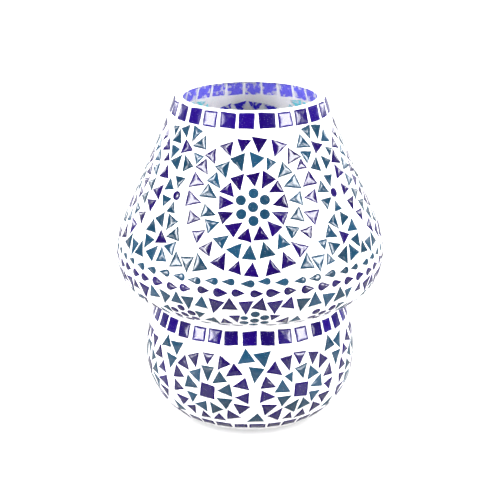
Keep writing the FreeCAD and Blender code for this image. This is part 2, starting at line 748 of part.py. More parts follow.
def holder_nodes():
    bush_in, grub_z = NIPPLE_R + SLIP, HOLDER_Z + NECK_H / 2
    grub = Part.makeCylinder(GRUB_R, 4.0, FreeCAD.Vector(bush_in, 0, grub_z), FreeCAD.Vector(1, 0, 0))
    bush = ring(bush_in, bush_in + BUSH_WALL, HOLDER_Z, HOLDER_Z + NECK_H)
    return {
        "holder_cap": holder_cap(),
        "holder_bush": bush.cut(cross_hole(GRUB_R + SLIP, grub_z)),
        "grub_screw": grub,
        "holder_body": holder_body(),
        "holder_insert": holder_insert(),
        "terminal_plates": terminal_plates(),
        "terminal_screws": terminal_screws(),
        "screw_shell": ring(BORE_R, BORE_R + SHELL_T, INSERT_TOP_Z, HOLDER_TOP_Z - 2.0),
        "centre_contact": centre_contact(),
    }


# ---------------------------------------------------------------- bulb

BULB_Z = CONTACT_TOP_Z + BULB_GAP
BULB_MIDDLE = (0.0, BULB_Z + BULB_LENGTH - BULB_R)
GLASS_LOW_Z = BULB_Z + CAP_HIGH - 8.0
NECK_Z = BULB_Z + CAP_HIGH + 1.0


def bulb_outline(inset):
    """Edges of the bulb's glass from its neck, through a hollow flare, to the crown."""
    rise = BULB_MIDDLE[1] - NECK_Z
    flare = (BULB_NECK_R**2 + rise**2 - BULB_R**2) / (2 * (BULB_R - BULB_NECK_R))
    flare_c = (BULB_NECK_R + flare, NECK_Z)
    neck_r, globe_r, flare_r = BULB_NECK_R - inset, BULB_R - inset, flare + inset
    meet = towards(BULB_MIDDLE, flare_c, globe_r)
    lean = math.atan2(meet[1] - flare_c[1], meet[0] - flare_c[0])
    flare_mid = on_circle(flare_c, flare_r, (lean + math.pi) / 2)
    low = math.atan2(meet[1] - BULB_MIDDLE[1], meet[0])
    globe_mid = on_circle(BULB_MIDDLE, globe_r, (low + math.pi / 2) / 2)
    return [
        line(vec((neck_r, GLASS_LOW_Z)), vec((neck_r, NECK_Z))),
        Part.Arc(vec((neck_r, NECK_Z)), vec(flare_mid), vec(meet)).toShape(),
        Part.Arc(vec(meet), vec(globe_mid), vec((0.0, BULB_MIDDLE[1] + globe_r))).toShape(),
    ]


def bulb_glass():
    outer, inner = bulb_outline(0.0), bulb_outline(BULB_WALL)
    ends = [line(first_point(outer), first_point(inner)), line(last_point(outer), last_point(inner))]
    return revolved(outer + inner + ends)


def bulb_stem():
    """The glass mount: a plug in the neck and a rod up through the globe."""
    plug_r = BULB_NECK_R - BULB_WALL - SLIP
    low, rod_top = GLASS_LOW_Z, BULB_MIDDLE[1] + 13.0
    plug = [(0, low), (plug_r, low), (plug_r, low + 1.5), (2.6, low + 5)]
    return turned(plug + [(2.2, NECK_Z + 8), (ROD_R, NECK_Z + 10), (ROD_R, rod_top), (0, rod_top)])


def filament_ends(k):
    """Lower and upper end of one light strip."""
    a = 2 * math.pi * (k + 0.5) / FILAMENTS
    low = FreeCAD.Vector(6.5 * math.cos(a), 6.5 * math.sin(a), BULB_MIDDLE[1] - 13.0)
    return low, FreeCAD.Vector(4.5 * math.cos(a), 4.5 * math.sin(a), BULB_MIDDLE[1] + 12.0)


def bulb_filaments():
    strips = []
    for k in range(FILAMENTS):
        low, high = filament_ends(k)
        strips.append(Part.makeCylinder(0.8, (high - low).Length, low, high - low))
    return Part.makeCompound(strips)


def bulb_wires():
    """Two spiders of wire that hold the light strips on the stem."""
    spiders = []
    for end, way in ((0, -1), (1, 1)):
        tips = [filament_ends(k)[end] for k in range(FILAMENTS)]
        z = tips[0].z + way * 1.0
        hub = ring(ROD_R + SLIP, 1.6, z - 0.5, z + 0.5)
        arms = []
        for tip in tips:
            flat = FreeCAD.Vector(tip.x, tip.y, 0)
            out = flat / flat.Length
            start, stop = out * 1.2 + AXIS * z, flat + AXIS * z
            arms.append(Part.makeCylinder(0.35, (stop - start).Length, start, out))
            arms.append(Part.makeCylinder(0.35, 0.6, stop - AXIS * 0.3, AXIS))
        spiders.append(hub.fuse(arms).removeSplitter())
    return Part.makeCompound(spiders)


def bulb_nodes():
    low, high = BULB_Z + CAP_LOW, BULB_Z + CAP_HIGH
    cap_in = CAP_R - CAP_WALL
    button = BULB_Z + 1.4
    contact = turned([(0, BULB_Z), (1.6, BULB_Z + 0.3), (2.3, button), (0, button)])
    insulator = turned([(0, button), (2.6, button), (5.6, low), (5.6, low + 1.0), (0, low + 1.0)])
    outer = [(5.6, low), (CAP_R, low + 1.0), (CAP_R, high)]
    inner = [(cap_in, high), (cap_in, low + 1.4), (5.6, low + 1.4)]
    return {
        "bulb_contact": contact,
        "bulb_insulator": insulator,
        "bulb_cap": turned(outer + inner),
        "bulb_glass": bulb_glass(),
        "bulb_stem": bulb_stem(),
        "bulb_filaments": bulb_filaments(),
        "bulb_wires": bulb_wires(),
    }


# ---------------------------------------------------------------- output

def save(node, shape):
    shape.exportStep(os.path.join("parts", node + ".step"))
    solids = shape.Solids
    print("%-30s %4d solids %10.1f mm3 valid %s" % (node, len(solids), shape.Volume, shape.isValid()))


def main():
    os.makedirs("parts", exist_ok=True)
    lay_dome()
    lay_drops("teal_drops", 107.0, -1.5, 8.8, 4.6, -1)
    lay_drops("violet_drops", 113.8, 2.3, 9.0, 5.4, 1)
    lay_underside()
    lay_globe()
    pieces = {}
    for tile in TILES:
        pieces.setdefault(tile.node, []).append(tile_solid(tile))
    nodes = {node: Part.makeCompound(solids) for node, solids in sorted(pieces.items())}
    nodes["glass_body"] = glass_body()
    nodes["grout_skin"] = grout_skin([tile_cutter(t) for t in TILES])
    for group in (seat_nodes(), holder_nodes(), bulb_nodes()):
        nodes.update(group)
    for node, shape in nodes.items():
        save(node, shape)


main()
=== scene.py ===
"""Looks of the mosaic glass table lamp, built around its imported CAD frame.

The frame is +Z up, with the front medallion towards -Y. Shapes are worked out in millimetres
and meet Blender's metres only in node_points(), new_piece(), soften() and threaded_cap().
An angle round the lamp is counted from the front towards +X. A distance down is counted along
the grout's outline, from its inner edge in the mouth over the rim to the foot.
"""
import json
import math

import bmesh
import bpy
import numpy as np
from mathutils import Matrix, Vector, geometry, kdtree, noise


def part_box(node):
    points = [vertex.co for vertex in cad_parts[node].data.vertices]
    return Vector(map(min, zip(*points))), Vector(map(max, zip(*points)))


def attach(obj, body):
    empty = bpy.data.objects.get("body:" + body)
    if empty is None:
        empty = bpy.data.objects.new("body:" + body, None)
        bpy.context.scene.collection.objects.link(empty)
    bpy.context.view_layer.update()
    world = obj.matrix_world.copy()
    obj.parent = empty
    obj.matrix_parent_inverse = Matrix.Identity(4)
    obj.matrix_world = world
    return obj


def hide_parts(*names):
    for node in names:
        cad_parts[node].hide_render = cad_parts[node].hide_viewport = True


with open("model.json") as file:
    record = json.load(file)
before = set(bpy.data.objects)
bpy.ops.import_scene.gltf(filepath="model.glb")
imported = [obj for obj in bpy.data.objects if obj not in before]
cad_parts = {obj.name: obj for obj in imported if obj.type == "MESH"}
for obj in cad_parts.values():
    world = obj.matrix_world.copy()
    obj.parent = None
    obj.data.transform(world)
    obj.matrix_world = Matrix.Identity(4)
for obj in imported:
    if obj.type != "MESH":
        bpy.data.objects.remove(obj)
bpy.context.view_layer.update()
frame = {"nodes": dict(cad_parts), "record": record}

scene = bpy.context.scene
rng = np.random.default_rng(11)
MM = 0.001

# ---------------------------------------------------------------- camera

CAMERA_PLACE = (0.0, -0.9413, 0.4303)
CAMERA_AIM = (0.0, 0.0, 0.1137)
CAMERA_LENS = 105.6


def add_camera():
    camera = bpy.data.objects.new("camera", bpy.data.cameras.new("camera"))
    scene.collection.objects.link(camera)
    camera.location = CAMERA_PLACE
    look = Vector(CAMERA_AIM) - Vector(CAMERA_PLACE)
    camera.rotation_euler = look.to_track_quat("-Z", "Y").to_euler()
    camera.data.lens = CAMERA_LENS
    camera.data.clip_end = 50.0
    scene.camera = camera


# ---------------------------------------------------------------- node materials

def add(tree, kind, inputs=None, **settings):
    """A shader node with its settings and its inputs, each a value or another node's output."""
    node = tree.nodes.new("ShaderNode" + kind)
    for key, value in settings.items():
        setattr(node, key, value)
    for key, value in (inputs or {}).items():
        if isinstance(value, bpy.types.NodeSocket):
            tree.links.new(value, node.inputs[key])
        else:
            node.inputs[key].default_value = value
    return node


def blend_colours(tree, share, first, second, how="MIX"):
    node = tree.nodes.new("ShaderNodeMix")
    node.data_type = "RGBA"
    node.blend_type = how
    for index, value in ((0, share), (6, first), (7, second)):
        if isinstance(value, bpy.types.NodeSocket):
            tree.links.new(value, node.inputs[index])
        else:
            node.inputs[index].default_value = value
    return node.outputs[2]


def ramp(tree, factor, stops):
    """A colour ramp through (position, colour) stops."""
    node = tree.nodes.new("ShaderNodeValToRGB")
    elements = node.color_ramp.elements
    while len(elements) < len(stops):
        elements.new(0.5)
    for element, (position, colour) in zip(elements, stops):
        element.position = position
        element.color = (*colour, 1.0)
    tree.links.new(factor, node.inputs["Fac"])
    return node.outputs["Color"]


def span(tree, value, low, high, to_low=0.0, to_high=1.0):
    """The value mapped from one range to another, held at its ends."""
    node = add(tree, "MapRange", {"Value": value, "From Min": low, "From Max": high,
                                  "To Min": to_low, "To Max": to_high})
    return node.outputs["Result"]


def attribute(tree, name):
    return add(tree, "Attribute", attribute_name=name)


def noise_at(tree, place, scale, detail=2.0, roughness=0.5, distortion=0.0):
    node = add(tree, "TexNoise", {"Vector": place, "Scale": scale, "Detail": detail, "Roughness": roughness,
                                  "Distortion": distortion})
    return node.outputs["Fac"]


def cells_at(tree, place, scale, randomness=1.0):
    node = add(tree, "TexVoronoi", {"Vector": place, "Scale": scale, "Randomness": randomness})
    return node.outputs["Distance"]


def bump(tree, height, distance, strength=1.0):
    return add(tree, "Bump", {"Height": height, "Distance": distance, "Strength": strength}).outputs["Normal"]


def new_material(name):
    material = bpy.data.materials.new(name)
    material.use_nodes = True
    material.node_tree.nodes.clear()
    return material, material.node_tree


def finish_material(tree, shader):
    output = tree.nodes.new("ShaderNodeOutputMaterial")
    tree.links.new(shader, output.inputs["Surface"])


def object_place(tree):
    """Object coordinates, in metres."""
    return add(tree, "TexCoord").outputs["Object"]


GROUT_THROUGH = 0.16  # share of light that the grout lets through


def grout_material():
    """White plaster grout: wiped by hand, chalky, with faint grey smears, pinholes painted darker as painted
    shade, and a fine sandy bump.
    """
    material, tree = new_material("grout")
    place = object_place(tree)
    smears = noise_at(tree, place, 90.0, 4.0, 0.6, 0.4)
    grain = noise_at(tree, place, 1400.0, 3.0, 0.65)
    pits = cells_at(tree, place, 520.0)
    colour = ramp(tree, smears, [(0.3, (0.87, 0.865, 0.86)), (0.62, (0.94, 0.935, 0.93))])
    # Pinholes painted darker: painted shade in them.
    shade = span(tree, pits, 0.05, 0.16, 0.82, 1.0)
    colour = blend_colours(tree, 0.5, colour, shade, "MULTIPLY")
    pitted = add(tree, "Math", {0: grain, 1: span(tree, pits, 0.03, 0.15)}, operation="MULTIPLY").outputs[0]
    normal = bump(tree, pitted, 0.00012, 0.55)
    plaster = add(tree, "BsdfPrincipled", {"Base Color": colour, "Normal": normal,
                                           "Roughness": span(tree, smears, 0.3, 0.7, 0.62, 0.8),
                                           "Specular IOR Level": 0.3})
    through = add(tree, "BsdfTranslucent", {"Color": (0.92, 0.9, 0.97, 1.0)})
    mixed = add(tree, "MixShader", {0: GROUT_THROUGH, 1: plaster.outputs[0], 2: through.outputs[0]})
    finish_material(tree, mixed.outputs[0])
    return material


PLASTER_FILM = (0.86, 0.86, 0.92, 1.0)
SHEET_IOR = 1.52
SHEET_THROUGH = (0.12, 0.3)  # share of light let through, from the front and from behind


def stained_glass(name, deep, bright, back):
    """Stained sheet glass with streaks and tiny bubbles, dull at its edges, with its back painted bright:
    painted light shining through the glass.

    Every piece carries attributes for it: its tone, its place in the sheet's grain, how near a
    point is to the edge, and whether it is on the back. There, a film of plaster smears the edges.
    """
    material, tree = new_material(name)
    tone = attribute(tree, "tone").outputs["Fac"]
    edge = attribute(tree, "edge").outputs["Fac"]
    behind = attribute(tree, "behind").outputs["Fac"]
    grain = attribute(tree, "grain").outputs["Vector"]
    stretched = add(tree, "Mapping", {"Vector": grain, "Scale": (0.35, 1.0, 1.0)}).outputs["Vector"]
    streaks = noise_at(tree, stretched, 0.9, 4.0, 0.6, 0.8)
    bubbles = cells_at(tree, grain, 0.9)
    # Fine specks, paler than the glass round them.
    fine_pale_specks = cells_at(tree, grain, 2.6)
    front = blend_colours(tree, span(tree, streaks, 0.3, 0.72), (*deep, 1.0), (*bright, 1.0))
    front = blend_colours(tree, 1.0, front, span(tree, tone, 0.0, 1.0, 0.72, 1.3), "MULTIPLY")
    pale = (*(0.35 + 0.5 * c for c in bright), 1.0)
    front = blend_colours(tree, span(tree, bubbles, 0.10, 0.16, 0.5, 0.0), front, pale)
    front = blend_colours(tree, span(tree, fine_pale_specks, 0.05, 0.1, 0.22, 0.0), front, pale)
    worn = add(tree, "Math", {0: edge, 1: span(tree, streaks, 0.35, 0.7, 0.2, 1.0)}, operation="MULTIPLY")
    front = blend_colours(tree, span(tree, worn.outputs[0], 0.8, 1.0, 0.0, 0.1), front, pale)
    film = noise_at(tree, grain, 0.3, 3.5, 0.6, 0.5)
    film = add(tree, "Math", {0: edge, 1: 0.22, 2: film}, operation="MULTIPLY_ADD").outputs[0]
    # The back's colour is painted light, bright as if lit through the glass; the film of plaster that smears
    # its edges is real.
    painted_lit_back_with_film = blend_colours(tree, span(tree, film, 0.69, 0.75, 0.0, 0.9), (*back, 1.0), PLASTER_FILM)
    colour = blend_colours(tree, behind, front, painted_lit_back_with_film)
    normal = bump(tree, streaks, 0.0002, 0.35)
    glossy = add(tree, "BsdfPrincipled", {"Base Color": colour, "Normal": normal, "IOR": SHEET_IOR,
                                          "Roughness": span(tree, edge, 0.3, 0.9, 0.15, 0.4),
                                          "Specular IOR Level": span(tree, edge, 0.2, 0.9, 0.6, 0.05)})
    through = add(tree, "BsdfTranslucent", {"Color": blend_colours(tree, 0.4, colour, (*back, 1.0))})
    share = span(tree, behind, 0.0, 1.0, *SHEET_THROUGH)
    mixed = add(tree, "MixShader", {0: share, 1: glossy.outputs[0], 2: through.outputs[0]})
    finish_material(tree, mixed.outputs[0])
    return material


def clear_glass(name, tint, flank, gloss_roughness, ripple):
    """Thin clear glass with a faint blown ripple, which reflects and tints more the flatter it is seen."""
    material, tree = new_material(name)
    place = object_place(tree)
    waves = noise_at(tree, place, ripple, 3.0, 0.5, 0.3)
    normal = bump(tree, waves, 0.0006, 0.4)
    dust = span(tree, noise_at(tree, place, 240.0, 5.0, 0.7), 0.55, 0.8, gloss_roughness, 0.2)
    gloss = add(tree, "BsdfGlossy", {"Color": (0.95, 0.97, 1.0, 1.0), "Roughness": dust, "Normal": normal})
    facing = add(tree, "LayerWeight", {"Blend": 0.5, "Normal": normal}).outputs["Facing"]
    grazing = add(tree, "Math", {0: facing, 1: 4.0}, operation="POWER").outputs[0]
    flat_on = add(tree, "Math", {0: facing, 1: 2.0}, operation="POWER").outputs[0]
    clear = add(tree, "BsdfTransparent", {"Color": blend_colours(tree, flat_on, (*tint, 1.0), (*flank, 1.0))})
    share = span(tree, grazing, 0.0, 1.0, 0.04, 0.6)
    mixed = add(tree, "MixShader", {0: share, 1: clear.outputs[0], 2: gloss.outputs[0]})
    finish_material(tree, mixed.outputs[0])
    return material


def metal(name, dark, light, scale, stretch, rough, pits):
    """Plated or drawn metal with fine marks along one direction and a slightly cloudy finish."""
    material, tree = new_material(name)
    place = object_place(tree)
    marked = add(tree, "Mapping", {"Vector": place, "Scale": stretch}).outputs["Vector"]
    marks = noise_at(tree, marked, scale, 4.0, 0.7)
    cloud = noise_at(tree, place, 160.0, 3.0, 0.6)
    colour = ramp(tree, cloud, [(0.3, dark), (0.7, light)])
    worn = cells_at(tree, place, 700.0)
    colour = blend_colours(tree, span(tree, worn, 0.04, 0.12, pits, 0.0), colour, (0.12, 0.11, 0.1, 1.0))
    roughness = span(tree, marks, 0.3, 0.7, rough * 0.8, rough * 1.35)
    shader = add(tree, "BsdfPrincipled", {"Base Color": colour, "Metallic": 1.0, "Roughness": roughness,
                                          "Normal": bump(tree, marks, 0.00006, 0.5)})
    finish_material(tree, shader.outputs[0])
    return material


def moulded(name, dark, light, rough, grain_scale, grain_depth, specular):
    """A moulded, cast or sintered piece: mottled colour and roughness, fine surface grain and darker specks.
    """
    material, tree = new_material(name)
    place = object_place(tree)
    mottle = noise_at(tree, place, 130.0, 4.0, 0.6)
    grain = noise_at(tree, place, grain_scale, 2.0, 0.6)
    colour = ramp(tree, mottle, [(0.32, dark), (0.68, light)])
    speck = cells_at(tree, place, grain_scale * 0.6)
    colour = blend_colours(tree, span(tree, speck, 0.05, 0.15, 0.25, 0.0), colour,
                           tuple(c * 0.6 for c in light) + (1.0,))
    roughness = span(tree, mottle, 0.3, 0.7, rough * 0.85, min(1.0, rough * 1.15))
    shader = add(tree, "BsdfPrincipled", {"Base Color": colour, "Roughness": roughness,
                                          "Specular IOR Level": specular,
                                          "Normal": bump(tree, grain, grain_depth, 0.6)})
    finish_material(tree, shader.outputs[0])
    return material


def phosphor():
    """The light strips' yellow phosphor gel: waxy, with a row of darker chips showing through."""
    material, tree = new_material("filament_phosphor")
    place = object_place(tree)
    along = add(tree, "Mapping", {"Vector": place, "Scale": (1.0, 1.0, 620.0)}).outputs["Vector"]
    chips = add(tree, "TexWave", {"Vector": along, "Scale": 1.0, "Distortion": 0.4}, bands_direction="Z")
    lumps = noise_at(tree, place, 900.0, 3.0, 0.6)
    colour = ramp(tree, chips.outputs["Fac"], [(0.2, (0.5, 0.26, 0.015)), (0.8, (0.72, 0.44, 0.05))])
    colour = blend_colours(tree, 0.35, colour, span(tree, lumps, 0.2, 0.8, 0.7, 1.0), "MULTIPLY")
    shader = add(tree, "BsdfPrincipled", {"Base Color": colour, "Roughness": 0.4,
                                          "Normal": bump(tree, lumps, 0.00008, 0.5)})
    finish_material(tree, shader.outputs[0])
    return material


STAINED = {  # front in its deep and bright streaks, and the back's colour, painted bright as painted light through the glass
    "violet_glass": ((0.0038, 0.0002, 0.036), (0.0085, 0.0004, 0.075), (0.06, 0.04, 0.8)),
    "teal_glass": ((0.0038, 0.022, 0.048), (0.0085, 0.042, 0.082), (0.2, 0.85, 0.95)),
    "lapis_glass": ((0.005, 0.0004, 0.062), (0.010, 0.0008, 0.11), (0.2, 0.175, 1.0)),
}
CLEAR_GLASS = {  # tint seen straight and at the flank, roughness of the gloss, scale of the ripple
    "clear_glass": ((0.985, 0.985, 0.99), (0.92, 0.92, 0.95), 0.02, 45.0),
    "bulb_clear_glass": ((0.985, 0.99, 0.985), (0.4, 0.44, 0.46), 0.01, 90.0),
}
METALS = {  # dark and light patches, scale and stretch of the marks, roughness, share of pits
    "plated_steel": ((0.52, 0.52, 0.5), (0.7, 0.7, 0.68), 500.0, (1.0, 1.0, 8.0), 0.3, 0.3),
    "brass": ((0.55, 0.36, 0.12), (0.78, 0.56, 0.24), 500.0, (1.0, 1.0, 8.0), 0.28, 0.25),
    "solder": ((0.36, 0.36, 0.37), (0.6, 0.6, 0.61), 900.0, (1.0, 1.0, 1.0), 0.45, 0.3),
    "nickel_cap": ((0.4, 0.39, 0.36), (0.56, 0.54, 0.5), 600.0, (1.0, 1.0, 9.0), 0.2, 0.2),
}
MOULDED = {  # dark and light patches, roughness, scale and depth of the grain, specular level
    "foam_rubber": ((0.03, 0.03, 0.03), (0.06, 0.06, 0.06), 0.95, 1500.0, 0.0003, 0.2),
    "foot_rubber": ((0.6, 0.6, 0.57), (0.74, 0.74, 0.71), 0.5, 1800.0, 0.00006, 0.45),
    "grommet_rubber": ((0.7, 0.7, 0.67), (0.82, 0.82, 0.8), 0.55, 1600.0, 0.00007, 0.45),
    "black_plastic": ((0.012, 0.012, 0.013), (0.03, 0.03, 0.032), 0.42, 2200.0, 0.00007, 0.45),
    "white_ceramic": ((0.76, 0.74, 0.69), (0.88, 0.87, 0.83), 0.7, 1300.0, 0.0001, 0.45),
    "black_glass": ((0.008, 0.008, 0.012), (0.03, 0.03, 0.04), 0.12, 800.0, 0.00003, 0.6),
}


def make_materials():
    """A material for every slot of the CAD."""
    made = {"grout": grout_material(), "filament_phosphor": phosphor()}
    recipes = {stained_glass: STAINED, clear_glass: CLEAR_GLASS, metal: METALS, moulded: MOULDED}
    for recipe, slots in recipes.items():
        for slot, values in slots.items():
            made[slot] = recipe(slot, *values)
    return made


# ---------------------------------------------------------------- meshes in and out

def node_points(name):
    """Welded points (mm) and triangles of a CAD node."""
    mesh = frame["nodes"][name].data
    points = np.empty(len(mesh.vertices) * 3, np.float32)
    mesh.vertices.foreach_get("co", points)
    points, where = np.unique(points.reshape(-1, 3), axis=0, return_inverse=True)
    mesh.calc_loop_triangles()
    triangles = np.empty(len(mesh.loop_triangles) * 3, np.int32)
    mesh.loop_triangles.foreach_get("vertices", triangles)
    return points.astype(float) / MM, where.ravel()[triangles].reshape(-1, 3)


def loose_solids(name):
    """Each separate solid of a CAD node as its points (mm) and triangles."""
    points, triangles = node_points(name)
    label = np.arange(len(points))
    while True:
        lowest = label[triangles].min(axis=1)
        after = label.copy()
        for corner in range(3):
            np.minimum.at(after, triangles[:, corner], lowest)
        if (after == label).all():
            break
        label = after
    return [(points, triangles[label[triangles[:, 0]] == first]) for first in np.unique(label[triangles])]


def new_piece(name, points, faces, material, body, nodes, sharp=35.0):
    """A mesh piece (mm) that replaces CAD nodes, rides on a body and takes its finish from a slot."""
    mesh = bpy.data.meshes.new(name)
    mesh.from_pydata((np.asarray(points) * MM).tolist(), [], faces)
    mesh.validate()
    mesh.shade_smooth()
    mesh.set_sharp_from_angle(angle=math.radians(sharp))
    mesh.materials.append(material)
    piece = bpy.data.objects.new(name, mesh)
    scene.collection.objects.link(piece)
    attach(piece, body)
    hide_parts(*nodes)
    return piece


def give_attribute(piece, name, values):
    """An attribute of the piece's points, either a number or a vector at each."""
    kind, key = ("FLOAT", "value") if values.ndim == 1 else ("FLOAT_VECTOR", "vector")
    layer = piece.data.attributes.new(name, kind, "POINT")
    layer.data.foreach_set(key, values.astype(np.float32).ravel())


# ---------------------------------------------------------------- outlines of the grout and the glass

# The grout's outline in (radius, height): its rim and collar, then the arcs of dome, lip, globe and foot.

RIM, COLLAR = (48.7, 221.0), (53.3, 207.0)
BELLY_Z, GLOBE_Z, SEAT_Z = 114.5, 43.0, 3.0
SHOULDER_C, SHOULDER_ARC = (35.0, BELLY_Z), 54.0
LIP_C, LIP_ARC = (59.0, BELLY_Z), 30.0
GLOBE_TOP_C, GLOBE_TOP_ARC = (-26.5, GLOBE_Z), 97.0
GLOBE_FOOT_C, GLOBE_FOOT_ARC = (23.1, GLOBE_Z), 47.4
WAIST_ARC = 1.5
MOUTH_R = 44.0
GLASS_TOP_Z = 220.0
GROUT_T = 2.4
GLASS_GAP = 0.05  # between the grout's back and the glass
RIM_ROUND = 0.8
RIM_DOWN = 8.0  # how far down the grout still sits on the glass's top edge
RIM_CLEAR = 0.1  # how far inside the flank's first point it ends there
STEP = 0.45  # between the outline's points


def arc(centre, radius, start, stop):
    """Points of an arc between two angles in degrees, without its last point."""
    count = max(3, round(abs(math.radians(stop - start)) * radius / STEP))
    angles = np.radians(np.linspace(start, stop, count, endpoint=False))
    return [(centre[0] + radius * math.cos(a), centre[1] + radius * math.sin(a)) for a in angles]


def straight(start, stop):
    count = max(1, round(math.dist(start, stop) / STEP))
    shares = np.linspace(0.0, 1.0, count, endpoint=False)
    return [(start[0] + t * (stop[0] - start[0]), start[1] + t * (stop[1] - start[1])) for t in shares]


def bearing(start, stop):
    return math.degrees(math.atan2(stop[1] - start[1], stop[0] - start[0]))


def on_circle(centre, radius, angle):
    a = math.radians(angle)
    return (centre[0] + radius * math.cos(a), centre[1] + radius * math.sin(a))


def far_crossing(c1, r1, c2, r2):
    """The crossing of two circles that lies further from the axis."""
    apart = math.dist(c1, c2)
    along = (apart * apart + r1 * r1 - r2 * r2) / (2 * apart)
    off = math.sqrt(r1 * r1 - along * along)
    ur, uz = (c2[0] - c1[0]) / apart, (c2[1] - c1[1]) / apart
    r, z = c1[0] + along * ur, c1[1] + along * uz
    return max((r + side * off * uz, z - side * off * ur) for side in (-1, 1))


def grout_outline():
    """Points (radius, height) from the inner edge in the mouth, over the rim, down the dome and globe."""
    rim_normal = bearing(COLLAR, RIM) - 90.0
    turn = math.radians((90.0 - rim_normal) / 2)
    rim_c = (RIM[0] - RIM_ROUND * math.tan(turn), RIM[1] - RIM_ROUND)
    reach = math.dist(COLLAR, SHOULDER_C)
    cone_normal = bearing(SHOULDER_C, COLLAR) - math.degrees(math.acos(SHOULDER_ARC / reach))
    waist_c = far_crossing(LIP_C, LIP_ARC + WAIST_ARC, GLOBE_TOP_C, GLOBE_TOP_ARC + WAIST_ARC)
    lip_end = bearing(LIP_C, waist_c)
    globe_start = bearing(GLOBE_TOP_C, waist_c)
    foot_end = -math.degrees(math.asin((GLOBE_Z - SEAT_Z) / GLOBE_FOOT_ARC))
    inner_c = (MOUTH_R + RIM_ROUND, RIM[1] - RIM_ROUND)
    points = straight((MOUTH_R, GLASS_TOP_Z), (MOUTH_R, inner_c[1]))
    points += arc(inner_c, RIM_ROUND, 180.0, 90.0)
    points += straight((inner_c[0], RIM[1]), (rim_c[0], RIM[1]))
    points += arc(rim_c, RIM_ROUND, 90.0, rim_normal)
    points += straight(on_circle(rim_c, RIM_ROUND, rim_normal), COLLAR)
    points += straight(COLLAR, on_circle(SHOULDER_C, SHOULDER_ARC, cone_normal))
    points += arc(SHOULDER_C, SHOULDER_ARC, cone_normal, 0.0)
    points += arc(LIP_C, LIP_ARC, 0.0, lip_end)
    points += arc(waist_c, WAIST_ARC, lip_end + 180.0, globe_start + 180.0)
    points += arc(GLOBE_TOP_C, GLOBE_TOP_ARC, globe_start, 0.0)
    points += arc(GLOBE_FOOT_C, GLOBE_FOOT_ARC, 0.0, foot_end)
    points.append(on_circle(GLOBE_FOOT_C, GLOBE_FOOT_ARC, foot_end))
    return np.array(points)


OUTLINE = grout_outline()
RUNS = np.hypot(*np.diff(OUTLINE, axis=0).T)
DOWN = np.concatenate([[0.0], np.cumsum(RUNS)])
ALONG = np.gradient(OUTLINE, DOWN, axis=0)
NORMAL = np.stack([-ALONG[:, 1], ALONG[:, 0]], axis=1) / np.hypot(*ALONG.T)[:, None]
FLAT = np.exp(np.concatenate([[0.0], np.cumsum(RUNS / ((OUTLINE[1:, 0] + OUTLINE[:-1, 0]) / 2))]))


def glass_outline():
    """The glass behind each point of the grout's outline; behind the rim it is the glass's top edge."""
    behind = OUTLINE - (GROUT_T - GLASS_GAP) * NORMAL
    rim = DOWN < RIM_DOWN
    shares = DOWN[rim] / DOWN[rim].max()
    behind[rim, 0] = MOUTH_R + shares * (behind[~rim][0, 0] - RIM_CLEAR - MOUTH_R)
    behind[rim, 1] = GLASS_TOP_Z + GLASS_GAP
    return behind


BEHIND = glass_outline()


def spin(radius, height, angle):
    """Points in space of (radius, height) at angles in radians, counted from -Y towards +X."""
    return np.stack([radius * np.sin(angle), -radius * np.cos(angle), height], axis=-1)


def face_points(angle, down):
    """Points on the grout's outline and their outward normals."""
    point = [np.interp(down, DOWN, OUTLINE[:, i]) for i in (0, 1)]
    normal = [np.interp(down, DOWN, NORMAL[:, i]) for i in (0, 1)]
    return spin(point[0], point[1], angle), spin(normal[0], normal[1], angle)


def glass_points(angle, down):
    return spin(np.interp(down, DOWN, BEHIND[:, 0]), np.interp(down, DOWN, BEHIND[:, 1]), angle)


def on_outline(points):
    """Angle, distance down and height off the outline of points near it."""
    radius, height = np.hypot(points[:, 0], points[:, 1]), points[:, 2]
    start, run = OUTLINE[:-1], np.diff(OUTLINE, axis=0)
    away = np.stack([radius, height], axis=1)[:, None, :] - start[None]
    share = np.clip((away * run).sum(axis=2) / (RUNS ** 2), 0.0, 1.0)
    gap = away - share[..., None] * run
    nearest = np.argmin((gap ** 2).sum(axis=2), axis=1)
    row = np.arange(len(points))
    off = (gap[row, nearest] * NORMAL[nearest]).sum(axis=1)
    return np.arctan2(points[:, 0], -points[:, 1]), DOWN[nearest] + share[row, nearest] * RUNS[nearest], off


# ---------------------------------------------------------------- mosaic pieces

ROUND_POINTS = 20
WOBBLE = 0.035  # share by which a round piece's radius wanders
NIP = 0.14  # how far a nipped edge wanders to either side
NIP_SHARES = (0.3, 0.52, 0.74)  # where along it
ON_TOP = 0.05  # a piece's points this near its highest one lie on its top
CORNER_CUTS = (0.3, 0.65)  # shortest and longest cut at a corner
FLARE = {3: 0.5, 4: 0.08}  # how far a piece's top edge stands out over its cut, by its count of corners
ROUND_FLARE = 0.2
CROWN, ROUND_CROWN = 0.24, 0.4  # height of the cushioned top
THREAD = 0.35  # least grout between two pieces' flared edges
NEAR = 16.0  # between the middles of pieces that can come close
EDGE_SAMPLES = 12  # points on each edge that its gap is measured from
LEAN = 0.02  # slope of a piece that isn't quite flush
SHEET = 900.0  # half the width of the glass sheet the grain is taken from


